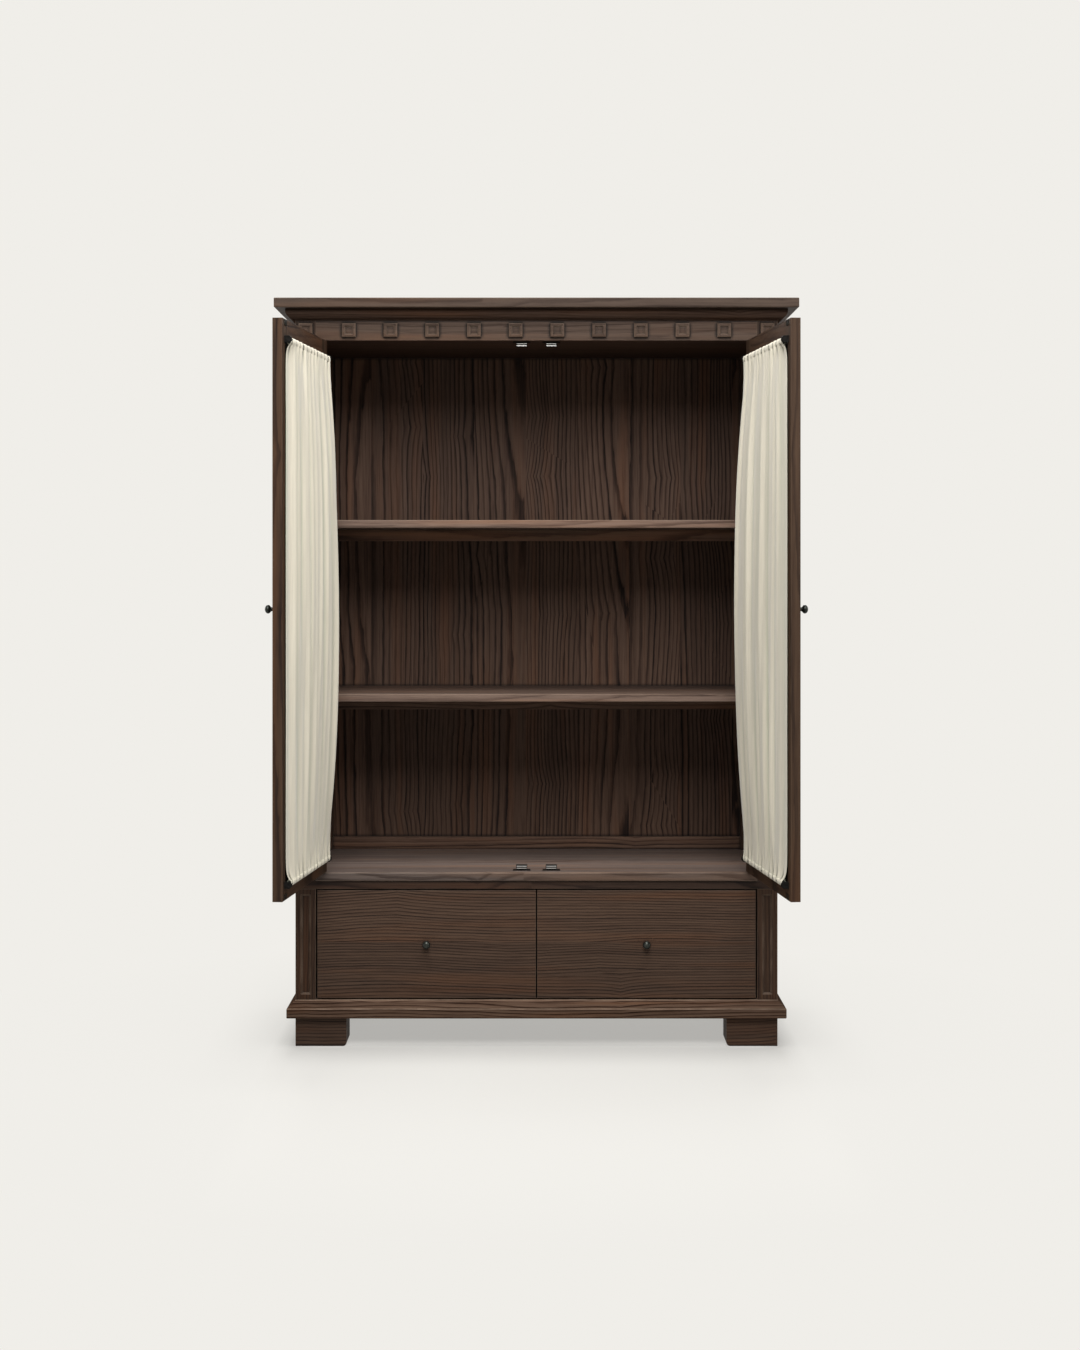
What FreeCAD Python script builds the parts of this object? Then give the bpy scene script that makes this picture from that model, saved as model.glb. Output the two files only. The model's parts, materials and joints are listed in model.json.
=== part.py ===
import FreeCAD, Part
import math
import os

# Two-door armoire with curtained glass doors above and a pair of drawers below.
# Millimetres, +Z up, front towards -Y. Every piece is drawn with Y = 0 on the front
# plane of the posts and X = 0 on the centre line. The doors are drawn shut, then swung
# open, and the right one mirrors the left.

V = FreeCAD.Vector

# Case
case_width = 1295.0
case_depth = 548.0
post_width = 55.0
post_depth = 50.0
panel_thickness = 20.0
panel_setback = 10.0
back_thickness = 10.0
back_inset = 6.0
back_rail_height = 36.0
back_rail_thickness = 18.0
top_board_thickness = 22.0
edge_radius = 2.0

# Heights, from the floor upwards
foot_height = 78.0
plinth_fascia = 25.5
plinth_slope = 21.5
drawer_opening = 297.0
waist_thickness = 22.0
floor_thickness = 24.0
door_opening = 1428.0
frieze_height = 53.0
cornice_height = 30.0
cap_thickness = 26.0

# Feet and plinth
foot_width = 137.0
foot_depth = 110.0
foot_setback = 2.0
foot_round = 10.0
plinth_reach = 22.0
plinth_seat = 50.0
plinth_round = 3.0
base_thickness = 12.0

# Sunk panels on the front posts
sunk_width = 27.0
sunk_depth = 6.0
sunk_bevel = 5.0
sunk_margin = 14.0

# Cupboard floor and shelves
nosing_reach = 8.5
nosing_round = 5.0
shelf_thickness = 21.5
shelf_setback = 82.0
lower_shelf_rise = 474.0
upper_shelf_rise = 947.0
stiffener_height = 33.0
stiffener_thickness = 22.0
stiffener_setback = 207.0
cleat_width = 20.0
cleat_setback = 10.0
shelf_clearance = 0.5

# Cornice and frieze
cap_overhang = 52.5
cap_round = 3.0
ovolo_radius = 22.0
ovolo_quirk = 3.0
ovolo_lip = 5.0
frieze_thickness = 24.0
frieze_block_size = 37.0
frieze_block_thickness = 9.0
frieze_block_chamfer = 2.5
frieze_block_pitch = 112.0
frieze_block_count = 10
frieze_sink_size = 24.0
frieze_sink_depth = 4.0
frieze_sink_bevel = 3.0

# Doors
door_gap = 3.0
hinge_gap = 2.5
door_thickness = 24.5
stile_width = 65.0
rail_height = 75.0
door_edge_radius = 1.5
sight_chamfer = 5.0
rebate_width = 9.0
rebate_depth = 14.5
glass_thickness = 4.0
glass_clearance = 0.8
bead_depth = 9.0
bead_chamfer = 5.0
door_open_angle = 95.5
door_knob_height = 712.0
door_knob_inset = 33.0

# Lift-off hinges
hinge_length = 70.0
hinge_inset = 110.0
leaf_thickness = 1.0
leaf_depth = 22.0
barrel_radius = 4.5
barrel_reach = 5.0
pin_radius = 2.0
pin_clearance = 0.05
knuckle_gap = 0.3

# Knobs
knob_radius = 11.0
knob_reach = 25.0
knob_neck_radius = 5.0
knob_head = 14.0
knob_rim = 1.2

# Curtain rods and their end brackets
rod_radius = 3.5
rod_standoff = 9.5
rod_top_drop = 49.0
rod_foot_rise = 37.5
bracket_length = 12.0
bracket_inset = 24.0
bracket_half_height = 8.0
bracket_wall = 3.0
bracket_chamfer = 5.0
bracket_clearance = 0.05

# Curtains
curtain_hinge_margin = 37.0
curtain_free_margin = 37.0
curtain_bow = 28.0
cloth_thickness = 3.0
fold_depth = 7.0
fold_count = 6
casing_half_height = 7.0
casing_half_depth = 6.0
casing_chamfer = 2.5
casing_clearance = 0.3
slack_fold_share = 0.7
bow_power_share = 0.75
section_shares = (0.0, 0.2, 0.5, 0.8, 1.0)

# Magnetic catches and strike plates
catch_offset = 40.0
catch_body_width = 30.0
catch_plate_width = 47.0
catch_plate_thickness = 3.0
catch_plate_depth = 14.0
catch_depth = 18.0
catch_height = 15.0
catch_chamfer = 1.5
pole_thickness = 2.0
pole_width = 27.0
pole_reach = 0.8
pole_shares = (0.45, 0.8)
strike_width = 28.0
strike_height = 13.0
strike_thickness = 1.5
strike_inset = 1.5
catch_clearance = 0.3

# Drawers
drawer_gap = 3.0
drawer_recess = 2.5
drawer_front_thickness = 22.0
drawer_side_thickness = 12.0
drawer_side_height = 215.0
drawer_rear_room = 50.0
drawer_bottom_thickness = 6.0
drawer_bottom_rise = 10.0
drawer_groove = 6.0
divider_thickness = 24.0
divider_setback = 26.0
runner_width = 34.0
runner_height = 14.0
guide_width = 10.0
guide_height = 26.0
run_clearance = 0.3
guide_clearance = 0.5

# One overrun for every cut, and what counts as lying in a plane or along an axis
overrun = 5.0
pick_tolerance = 0.001
parallel_share = 0.999

# Levels and planes worked out from the sizes above
half_case = case_width / 2
post_inner = half_case - post_width
wall_inner = half_case - panel_setback - panel_thickness
rear_post_front = case_depth - post_depth
back_front = case_depth - back_inset - back_thickness
plinth_top = foot_height + plinth_fascia + plinth_slope
waist_bottom = plinth_top + drawer_opening
waist_top = waist_bottom + waist_thickness
floor_top = waist_top + floor_thickness
opening_top = floor_top + door_opening
frieze_top = opening_top + frieze_height
cap_bottom = frieze_top + cornice_height
cap_top = cap_bottom + cap_thickness
shelf_tops = {"lower": floor_top + lower_shelf_rise, "upper": floor_top + upper_shelf_rise}

# The left door, shut
door_left = -post_inner + hinge_gap
door_right = -door_gap / 2
door_foot = floor_top + door_gap
door_head = opening_top - door_gap
hinge_x = -post_inner + hinge_gap / 2
hinge_y = -barrel_reach
top_rod = door_head - rod_top_drop
foot_rod = door_foot + rod_foot_rise
rod_y = door_thickness + rod_standoff

# The origin lies on the floor, under the middle of the box round the open armoire
swing = math.radians(door_open_angle)
door_reach = (door_right - hinge_x) * math.sin(swing) - (door_thickness - hinge_y) * math.cos(swing)
origin_y = (case_depth + hinge_y - door_reach) / 2


def block(x0, x1, y0, y1, z0, z1):
    """A board between two corners."""
    return Part.makeBox(x1 - x0, y1 - y0, z1 - z0, V(x0, y0, z0))


def mirrored(shape):
    """The same piece on the other side of the centre line."""
    return shape.mirror(V(0, 0, 0), V(1, 0, 0))


def pair(shape):
    """A left piece and its right twin."""
    return [shape, mirrored(shape)]


def edges_on(shape, axis, place):
    """Edges that lie wholly in the plane axis = place."""
    found = []
    for edge in shape.Edges:
        box = edge.BoundBox
        low = getattr(box, axis + "Min")
        high = getattr(box, axis + "Max")
        if abs(low - place) < pick_tolerance and abs(high - place) < pick_tolerance:
            found.append(edge)
    return found


def edges_along(shape, axis):
    """Straight edges that run along one axis."""
    found = []
    for edge in shape.Edges:
        heading = edge.tangentAt(edge.FirstParameter)
        if abs(getattr(heading, axis.lower())) > parallel_share:
            found.append(edge)
    return found


def rounded_wire(corners, radii):
    """A closed outline whose corners are rounded by tangent arcs."""
    starts, arcs, ends = [], [], []
    for index, corner in enumerate(corners):
        to_last = (corners[index - 1] - corner).normalize()
        to_next = (corners[(index + 1) % len(corners)] - corner).normalize()
        half_turn = to_last.getAngle(to_next) / 2
        tangent = radii[index] / math.tan(half_turn)
        bisector = (to_last + to_next).normalize()
        centre = corner + bisector * (radii[index] / math.sin(half_turn))
        starts.append(corner + to_last * tangent)
        ends.append(corner + to_next * tangent)
        arcs.append(centre - bisector * radii[index])
    edges = []
    for index in range(len(corners)):
        if radii[index] > 0:
            edges.append(Part.Arc(starts[index], arcs[index], ends[index]).toShape())
        edges.append(Part.LineSegment(ends[index], starts[(index + 1) % len(corners)]).toShape())
    return Part.Wire(edges)


def prism(corners, radii, sweep):
    """A rounded outline drawn out along a straight line."""
    return Part.Face(rounded_wire(corners, radii)).extrude(sweep)


def plate(points, z0, z1):
    """A flat board with the outline given by (x, y) points."""
    corners = [V(x, y, z0) for x, y in points]
    return prism(corners, [0] * len(corners), V(0, 0, z1 - z0))


def sunk_tool(x, z0, z1, width, depth, bevel, front):
    """A bevelled pocket, cut into a face that looks forward at Y = front."""
    rings = []
    for y, trim in ((front, 0), (front + depth, bevel)):
        left = x - width / 2 + trim
        right = x + width / 2 - trim
        low = z0 + trim
        high = z1 - trim
        corners = [V(left, y, low), V(right, y, low), V(right, y, high), V(left, y, high)]
        rings.append(Part.makePolygon(corners + corners[:1]))
    return Part.makeLoft(rings, True, True)


def knob(x, front, z):
    """A turned knob that stands forward of the face at Y = front: a neck and a head with an eased rim."""
    outward = V(0, -1, 0)
    neck = Part.makeCylinder(knob_neck_radius, knob_reach - knob_head, V(x, front, z), outward)
    head = Part.makeCylinder(knob_radius, knob_head, V(x, front - knob_reach + knob_head, z), outward)
    rim = [edge for edge in head.Edges if edge.BoundBox.YMax < front - knob_reach + knob_rim]
    return neck.fuse(head.makeChamfer(knob_rim, rim))


def hung(shape, side):
    """A piece of the shut left door, swung open, or its twin on the right door."""
    open_piece = shape.copy()
    open_piece.rotate(V(hinge_x, hinge_y, 0), V(0, 0, 1), -door_open_angle)
    return open_piece if side == "left" else mirrored(open_piece)


def write(node, pieces):
    """One STEP file for each node, about the model's origin."""
    shape = pieces[0].copy() if len(pieces) == 1 else Part.makeCompound(pieces)
    shape.translate(V(0, -origin_y, 0))
    shape.exportStep("parts/" + node + ".step")


def mitred_frame(face_at, reach):
    """Front length and two returns of a moulding, mitred at the front corners."""
    corner = case_depth / 2
    low = foot_height - overrun
    tall = V(0, 0, cap_top)
    line_rear = V(half_case - corner, corner, low)
    line_front = V(half_case + corner, -corner, low)
    inner_tip = V(half_case + corner, corner, low)
    outer_tip = V(half_case - corner, -corner, low)
    behind = Part.Face(Part.makePolygon([line_rear, line_front, inner_tip, line_rear]))
    ahead = Part.Face(Part.makePolygon([line_rear, line_front, outer_tip, line_rear]))
    end_cut = behind.extrude(tall)
    length = case_width + 2 * reach
    front_face = face_at(lambda out, z: V(-length / 2, -out, z))
    front = front_face.extrude(V(length, 0, 0)).cut(end_cut).cut(mirrored(end_cut))
    side_face = face_at(lambda out, z: V(half_case + out, -reach, z))
    side = side_face.extrude(V(0, case_depth + reach, 0)).cut(ahead.extrude(tall))
    return [front] + pair(side)


def cornice_face(at):
    """Ovolo section under the cap: a quirk, a quarter round and a flat lip."""
    lip = cap_bottom - ovolo_lip
    shoulder = lip - ovolo_radius
    out = ovolo_quirk + ovolo_radius
    slant = ovolo_radius * math.sqrt(1 / 2)
    middle = at(ovolo_quirk + slant, lip - slant)
    edges = [
        Part.LineSegment(at(0, frieze_top), at(ovolo_quirk, frieze_top)),
        Part.LineSegment(at(ovolo_quirk, frieze_top), at(ovolo_quirk, shoulder)),
        Part.Arc(at(ovolo_quirk, shoulder), middle, at(out, lip)),
        Part.LineSegment(at(out, lip), at(out, cap_bottom)),
        Part.LineSegment(at(out, cap_bottom), at(0, cap_bottom)),
        Part.LineSegment(at(0, cap_bottom), at(0, frieze_top)),
    ]
    return Part.Face(Part.Wire([edge.toShape() for edge in edges]))


def plinth_face(at):
    """Plinth section: a fascia and a slope with softened arrises, over a flat seat."""
    fascia_top = foot_height + plinth_fascia
    corners = [at(-plinth_seat, foot_height), at(plinth_reach, foot_height), at(plinth_reach, fascia_top),
               at(0, plinth_top), at(-plinth_seat, plinth_top)]
    return Part.Face(rounded_wire(corners, [0, plinth_round, plinth_round, plinth_round, 0]))


def build_base():
    """Feet, plinth and base board."""
    outer = half_case
    inner = outer - foot_width
    corners = [V(-outer, 0, 0), V(-inner, 0, 0), V(-inner, 0, foot_height), V(-outer, 0, foot_height)]
    foot = prism(corners, [edge_radius, foot_round, 0, 0], V(0, foot_depth, 0))
    front_foot = foot.translated(V(0, foot_setback, 0))
    rear_foot = foot.translated(V(0, case_depth - foot_depth, 0))
    write("front_feet", pair(front_foot))
    write("rear_feet", pair(rear_foot))

    seat = half_case - plinth_seat
    rear_rail = block(-seat, seat, case_depth - plinth_seat, case_depth, foot_height, plinth_top)
    write("plinth_rails", mitred_frame(plinth_face, plinth_reach) + [rear_rail])
    base = block(-seat, seat, plinth_seat, case_depth - plinth_seat, plinth_top - base_thickness, plinth_top)
    write("base_board", [base])


def front_post(z0, z1, panels):
    """A left front post with sunk panels between the given pairs of levels."""
    post = block(-half_case, -post_inner, 0, post_depth, z0, z1)
    arrises = [edge for edge in edges_along(post, "Z") if edge.BoundBox.YMax < post_depth / 2]
    post = post.makeFillet(edge_radius, arrises)
    middle = -half_case + post_width / 2
    for low, high in panels:
        post = post.cut(sunk_tool(middle, low, high, sunk_width, sunk_depth, sunk_bevel, 0))
    return post


def build_case():
    """Posts, panels and boards of the carcass."""
    lower = front_post(plinth_top, waist_bottom, [(plinth_top + sunk_margin, waist_bottom - sunk_margin)])
    upper = front_post(waist_top, cap_bottom, [(floor_top + sunk_margin, opening_top - sunk_margin)])
    for side, turn in (("left", lambda shape: shape), ("right", mirrored)):
        write(side + "_lower_post", [turn(lower)])
        write(side + "_upper_post", [turn(upper)])

    rear_post = block(-half_case, -post_inner, rear_post_front, case_depth, plinth_top, cap_bottom)
    write("rear_posts", pair(rear_post))

    wall_outer = half_case - panel_setback
    upper_side = block(-wall_outer, -wall_inner, post_depth, rear_post_front, waist_top, opening_top)
    lower_side = block(-wall_outer, -wall_inner, post_depth, rear_post_front, plinth_top, waist_bottom)
    head_rail = block(-half_case, -wall_inner, post_depth, rear_post_front, opening_top, cap_bottom)
    head_rail = head_rail.makeFillet(edge_radius, [edge for edge in edges_on(head_rail, "Z", opening_top)
                                                   if edge.BoundBox.XMax < -wall_inner - edge_radius])
    write("upper_side_panels", pair(upper_side))
    write("lower_side_panels", pair(lower_side))
    write("side_head_rails", pair(head_rail))

    outline = [(-half_case, 0), (half_case, 0), (half_case, rear_post_front), (post_inner, rear_post_front),
               (post_inner, case_depth), (-post_inner, case_depth), (-post_inner, rear_post_front),
               (-half_case, rear_post_front)]
    waist = plate(outline, waist_bottom, waist_top)
    write("waist_board", [waist.makeFillet(edge_radius, edges_along_front(waist))])

    floor = inner_board(-nosing_reach, post_depth, post_inner, waist_top, floor_top)
    nosing = [edge for edge in edges_on(floor, "Y", -nosing_reach) if edge.Length > post_inner]
    write("cupboard_floor", [floor.makeFillet(nosing_round, nosing)])

    ceiling_top = opening_top + top_board_thickness
    ceiling = inner_board(frieze_thickness, post_depth, post_inner, opening_top, ceiling_top)
    write("top_board", [ceiling])

    back_rear = back_front + back_thickness
    upper_back = block(-post_inner, post_inner, back_front, back_rear, waist_top, cap_bottom)
    lower_back = block(-post_inner, post_inner, back_front, back_rear, plinth_top, waist_bottom)
    write("upper_back_panel", [upper_back])
    write("lower_back_panel", [lower_back])
    rail = block(-post_inner, post_inner, back_front - back_rail_thickness, back_front, floor_top,
                 floor_top + back_rail_height)
    top_edge = [edge for edge in edges_on(rail, "Y", back_front - back_rail_thickness)
                if edge.BoundBox.ZMin > floor_top]
    long_edges = [edge for edge in top_edge if edge.Length > post_inner]
    write("back_rail", [rail.makeFillet(edge_radius, long_edges)])


def edges_along_front(board):
    """The long upper and lower edges of a board's front."""
    return [edge for edge in edges_on(board, "Y", board.BoundBox.YMin) if edge.Length > post_inner]


def inner_board(front, notch, front_half, z0, z1):
    """A board between the side panels, notched round the four posts."""
    return plate([(-front_half, front), (front_half, front), (front_half, notch), (wall_inner, notch),
                  (wall_inner, rear_post_front), (post_inner, rear_post_front), (post_inner, back_front),
                  (-post_inner, back_front), (-post_inner, rear_post_front), (-wall_inner, rear_post_front),
                  (-wall_inner, notch), (-front_half, notch)], z0, z1)


def build_shelves():
    """Two shelves, the stiffener under each and the cleats that carry them."""
    side = wall_inner - shelf_clearance
    notch_side = post_inner - shelf_clearance
    notch = rear_post_front - shelf_clearance
    bearers = []
    for name, top in shelf_tops.items():
        under = top - shelf_thickness
        foot = under - stiffener_height
        shelf = plate([(-side, shelf_setback), (side, shelf_setback), (side, notch), (notch_side, notch),
                       (notch_side, back_front), (-notch_side, back_front), (-notch_side, notch),
                       (-side, notch)], under, top)
        write(name + "_shelf", [shelf.makeFillet(edge_radius, edges_along_front(shelf))])
        cleat = block(-wall_inner, -wall_inner + cleat_width, shelf_setback + cleat_setback,
                      rear_post_front - cleat_setback, foot, under)
        bearers += pair(cleat)
        span = wall_inner - cleat_width
        front = shelf_setback + stiffener_setback
        bearers.append(block(-span, span, front, front + stiffener_thickness, foot, under))
    write("shelf_bearers", bearers)


def build_cornice():
    """Frieze, its row of sunk blocks, the ovolo and the cap."""
    write("frieze_board", [block(-post_inner, post_inner, 0, frieze_thickness, opening_top, cap_bottom)])

    middle_z = (opening_top + frieze_top) / 2
    first = -frieze_block_pitch * (frieze_block_count - 1) / 2
    places = [first + frieze_block_pitch * index for index in range(frieze_block_count)]
    places += [-half_case + post_width / 2, half_case - post_width / 2]
    write("frieze_blocks", [frieze_block(x, middle_z) for x in places])

    write("cornice_moulding", mitred_frame(cornice_face, ovolo_quirk + ovolo_radius))
    cap_half = half_case + cap_overhang
    cap = block(-cap_half, cap_half, -cap_overhang, case_depth, cap_bottom, cap_top)
    cap_edges = [edge for edge in edges_on(cap, "Z", cap_top) + edges_on(cap, "Z", cap_bottom)
                 if edge.BoundBox.YMin < case_depth - overrun]
    write("top_cap", [cap.makeFillet(cap_round, cap_edges)])


def frieze_block(x, z):
    """A small square block with chamfered edges and a sunk square centre."""
    half = frieze_block_size / 2
    piece = block(x - half, x + half, -frieze_block_thickness, 0, z - half, z + half)
    piece = piece.makeChamfer(frieze_block_chamfer, edges_on(piece, "Y", -frieze_block_thickness))
    sink = frieze_sink_size / 2
    return piece.cut(sunk_tool(x, z - sink, z + sink, frieze_sink_size, frieze_sink_depth, frieze_sink_bevel,
                               -frieze_block_thickness))


def door_frame():
    """Stiles and rails of the shut left door, rebated for the glass and chamfered round the sight."""
    x0, x1 = door_left + stile_width, door_right - stile_width
    z0, z1 = door_foot + rail_height, door_head - rail_height
    rebate = block(x0 - rebate_width, x1 + rebate_width, door_thickness - rebate_depth,
                   door_thickness + overrun, z0 - rebate_width, z1 + rebate_width)
    middle = (x0 + x1) / 2
    chamfer_width = x1 - x0 + 2 * sight_chamfer
    chamfer = sunk_tool(middle, z0 - sight_chamfer, z1 + sight_chamfer, chamfer_width, sight_chamfer,
                        sight_chamfer, 0)
    stiles = []
    for left, right in ((door_left, x0), (x1, door_right)):
        stile = block(left, right, 0, door_thickness, door_foot, door_head)
        outer = door_left if left == door_left else door_right
        edges = [edge for edge in edges_on(stile, "X", outer) if edge.Length > stile_width]
        stile = stile.makeFillet(door_edge_radius, edges)
        stiles.append(stile.cut(rebate).cut(chamfer))
    rails = []
    for low, high in ((door_foot, z0), (z1, door_head)):
        rail = block(x0, x1, 0, door_thickness, low, high)
        rails.append(rail.cut(rebate).cut(chamfer))
    return stiles, rails, (x0, x1, z0, z1)


def door_glazing(sight):
    """The pane in its rebate and the four beads that hold it."""
    x0, x1, z0, z1 = sight
    grip = rebate_width - glass_clearance
    seat = door_thickness - rebate_depth
    glass = block(x0 - grip, x1 + grip, seat, seat + glass_thickness, z0 - grip, z1 + grip)
    front = seat + glass_thickness
    rear = front + bead_depth
    beads = []
    for left, right, inner in ((x0 - rebate_width, x0, x0), (x1, x1 + rebate_width, x1)):
        bead = block(left, right, front, rear, z0 - rebate_width, z1 + rebate_width)
        beads.append(bead.makeChamfer(bead_chamfer, shared_edges(bead, "X", inner, "Y", rear)))
    for low, high, inner in ((z0 - rebate_width, z0, z0), (z1, z1 + rebate_width, z1)):
        bead = block(x0, x1, front, rear, low, high)
        beads.append(bead.makeChamfer(bead_chamfer, shared_edges(bead, "Z", inner, "Y", rear)))
    return glass, beads


def shared_edges(shape, axis, place, other_axis, other_place):
    """Edges that lie in both of two planes."""
    keep = [edge.hashCode() for edge in edges_on(shape, other_axis, other_place)]
    return [edge for edge in edges_on(shape, axis, place) if edge.hashCode() in keep]


def curtain_rods():
    """Upper and lower rods, and the dark brackets that hold their ends."""
    first = door_left + bracket_inset
    last = door_right - bracket_inset
    rods, brackets = [], []
    for z in (top_rod, foot_rod):
        start = first + bracket_wall
        length = last - bracket_wall - start
        rods.append(Part.makeCylinder(rod_radius, length, V(start, rod_y, z), V(1, 0, 0)))
        socket = rod_radius + bracket_clearance
        bore = Part.makeCylinder(socket, length, V(start, rod_y, z), V(1, 0, 0))
        half = bracket_half_height
        for left in (first, last - bracket_length):
            bracket = block(left, left + bracket_length, door_thickness, rod_y + half, z - half, z + half)
            nose = [edge for edge in edges_along(bracket, "X") if edge.BoundBox.YMin > rod_y]
            brackets.append(bracket.makeChamfer(bracket_chamfer, nose).cut(bore))
    return rods, brackets


def curtain_section(share):
    """The folded cloth cut level, as arcs, part of the way from the lower rod to the upper."""
    low = foot_rod + casing_half_height
    high = top_rod - casing_half_height
    z = low + (high - low) * share
    rise = math.sin(math.pi * share)
    bow = curtain_bow * max(rise, 0) ** bow_power_share
    depth = fold_depth * (slack_fold_share + (1 - slack_fold_share) * rise)
    start = door_left + curtain_hinge_margin
    end = door_right - curtain_free_margin
    arcs = 2 * fold_count

    def spot(place, crest, face):
        along = place / arcs
        lean = (1 + math.cos(math.pi * along)) / 2
        off = rod_standoff + bow * lean + depth * crest + face * cloth_thickness / 2
        return V(start + (end - start) * along, door_thickness + off, z)

    def fold(index, face):
        crest = 1 if index % 2 == 0 else -1
        return [spot(index, 0, face), spot(index + 1 / 2, crest, face), spot(index + 1, 0, face)]

    edges = [Part.Arc(*fold(index, 1)).toShape() for index in range(arcs)]
    edges.append(Part.LineSegment(spot(arcs, 0, 1), spot(arcs, 0, -1)).toShape())
    edges += [Part.Arc(*reversed(fold(index, -1))).toShape() for index in reversed(range(arcs))]
    edges.append(Part.LineSegment(spot(0, 0, -1), spot(0, 0, 1)).toShape())
    return Part.Wire(edges)


def curtain():
    """A gathered curtain with a casing round each rod and its folds in between."""
    cloth = Part.makeLoft([curtain_section(share) for share in section_shares], True, True)
    start = door_left + curtain_hinge_margin
    end = door_right - curtain_free_margin
    for z in (top_rod, foot_rod):
        casing = block(start, end, rod_y - casing_half_depth, rod_y + casing_half_depth,
                       z - casing_half_height, z + casing_half_height)
        casing = casing.makeChamfer(casing_chamfer, edges_along(casing, "X"))
        bore = Part.makeCylinder(rod_radius + casing_clearance, end - start, V(start, rod_y, z), V(1, 0, 0))
        cloth = cloth.fuse(casing).cut(bore)
    return cloth.Solids


def hinge_leaf(plate_left, knuckle, gap, z):
    """One leaf of a lift-off hinge: a plate and its knuckle, cut clear of the other leaf's knuckle."""
    half = hinge_length / 2
    leaf = block(plate_left, plate_left + leaf_thickness, hinge_y, leaf_depth, z - half, z + half)
    clear = barrel(barrel_radius + knuckle_gap, gap, z)
    bore = barrel(pin_radius + pin_clearance, knuckle, z)
    return leaf.cut(clear).fuse(barrel(barrel_radius, knuckle, z)).cut(bore)


def barrel(radius, span, z):
    """A cylinder on the hinge line between two heights about the hinge's middle."""
    low, high = span
    return Part.makeCylinder(radius, high - low, V(hinge_x, hinge_y, z + low), V(0, 0, 1))


def build_hinges():
    """Two lift-off hinges for each door: leaves on the case with their pins, and leaves on the door."""
    half = hinge_length / 2
    lower = (-half, -knuckle_gap / 2)
    upper = (knuckle_gap / 2, half)
    heights = [door_foot + hinge_inset, door_head - hinge_inset]
    case_leaves = [hinge_leaf(-post_inner, lower, (-knuckle_gap, half), z) for z in heights]
    door_leaves = [hinge_leaf(door_left - leaf_thickness, upper, (-half, knuckle_gap), z) for z in heights]
    pins = [barrel(pin_radius, (-half, half), z) for z in heights]
    write("case_hinge_leaves", case_leaves + [mirrored(leaf) for leaf in case_leaves])
    write("hinge_pins", pins + [mirrored(pin) for pin in pins])
    for side in ("left", "right"):
        write(side + "_door_hinge_leaves", [hung(leaf, side) for leaf in door_leaves])


def build_doors():
    """Both doors with their glass, curtains and fittings."""
    stiles, rails, sight = door_frame()
    glass, beads = door_glazing(sight)
    rods, brackets = curtain_rods()
    strikes = []
    for low in (door_foot + strike_inset, door_head - strike_inset - strike_height):
        left = -catch_offset - strike_width / 2
        strikes.append(block(left, left + strike_width, door_thickness, door_thickness + strike_thickness,
                             low, low + strike_height))
    pieces = {
        "door_stiles": stiles,
        "door_rails": rails,
        "door_glass": [glass],
        "door_beads": beads,
        "door_knob": [knob(door_right - door_knob_inset, 0, door_foot + door_knob_height)],
        "curtain_rods": rods,
        "rod_brackets": brackets,
        "curtain": curtain(),
        "door_strikes": strikes,
    }
    for side in ("left", "right"):
        for name, solids in pieces.items():
            write(side + "_" + name, [hung(solid, side) for solid in solids])


def build_catches():
    """Magnetic catches on the floor and under the top, behind the meeting stiles."""
    front = door_thickness + strike_thickness + catch_clearance + pole_reach
    bodies, poles = [], []
    half = catch_body_width / 2
    foot = block(-catch_plate_width / 2, catch_plate_width / 2, front, front + catch_plate_depth, 0,
                 catch_plate_thickness)
    body = block(-half, half, front, front + catch_depth, 0, catch_height)
    arrises = [edge for edge in edges_on(body, "Z", catch_height) if edge.Length > catch_depth]
    body = body.makeChamfer(catch_chamfer, arrises).fuse(foot)
    bars = []
    for share in pole_shares:
        z = catch_height * share
        bars.append(block(-pole_width / 2, pole_width / 2, front - pole_reach, front + catch_depth / 2,
                          z - pole_thickness / 2, z + pole_thickness / 2))
    for bar in bars:
        body = body.cut(bar)
    for x in (-catch_offset, catch_offset):
        low = V(x, 0, floor_top)
        bodies.append(body.translated(low))
        poles += [bar.translated(low) for bar in bars]
        high = V(x, 0, opening_top)
        bodies.append(body.mirror(V(0, 0, 0), V(0, 0, 1)).translated(high))
        poles += [bar.mirror(V(0, 0, 0), V(0, 0, 1)).translated(high) for bar in bars]
    write("catch_bodies", bodies)
    write("catch_pole_plates", poles)


def runner(outer, inward):
    """A wooden runner with a guide strip, from its outer face towards the drawer."""
    corners = [V(outer, divider_setback, plinth_top),
               V(outer + inward * runner_width, divider_setback, plinth_top),
               V(outer + inward * runner_width, divider_setback, plinth_top + runner_height),
               V(outer + inward * guide_width, divider_setback, plinth_top + runner_height),
               V(outer + inward * guide_width, divider_setback, plinth_top + runner_height + guide_height),
               V(outer, divider_setback, plinth_top + runner_height + guide_height)]
    return prism(corners, [0] * len(corners), V(0, back_front - divider_setback, 0))


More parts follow.
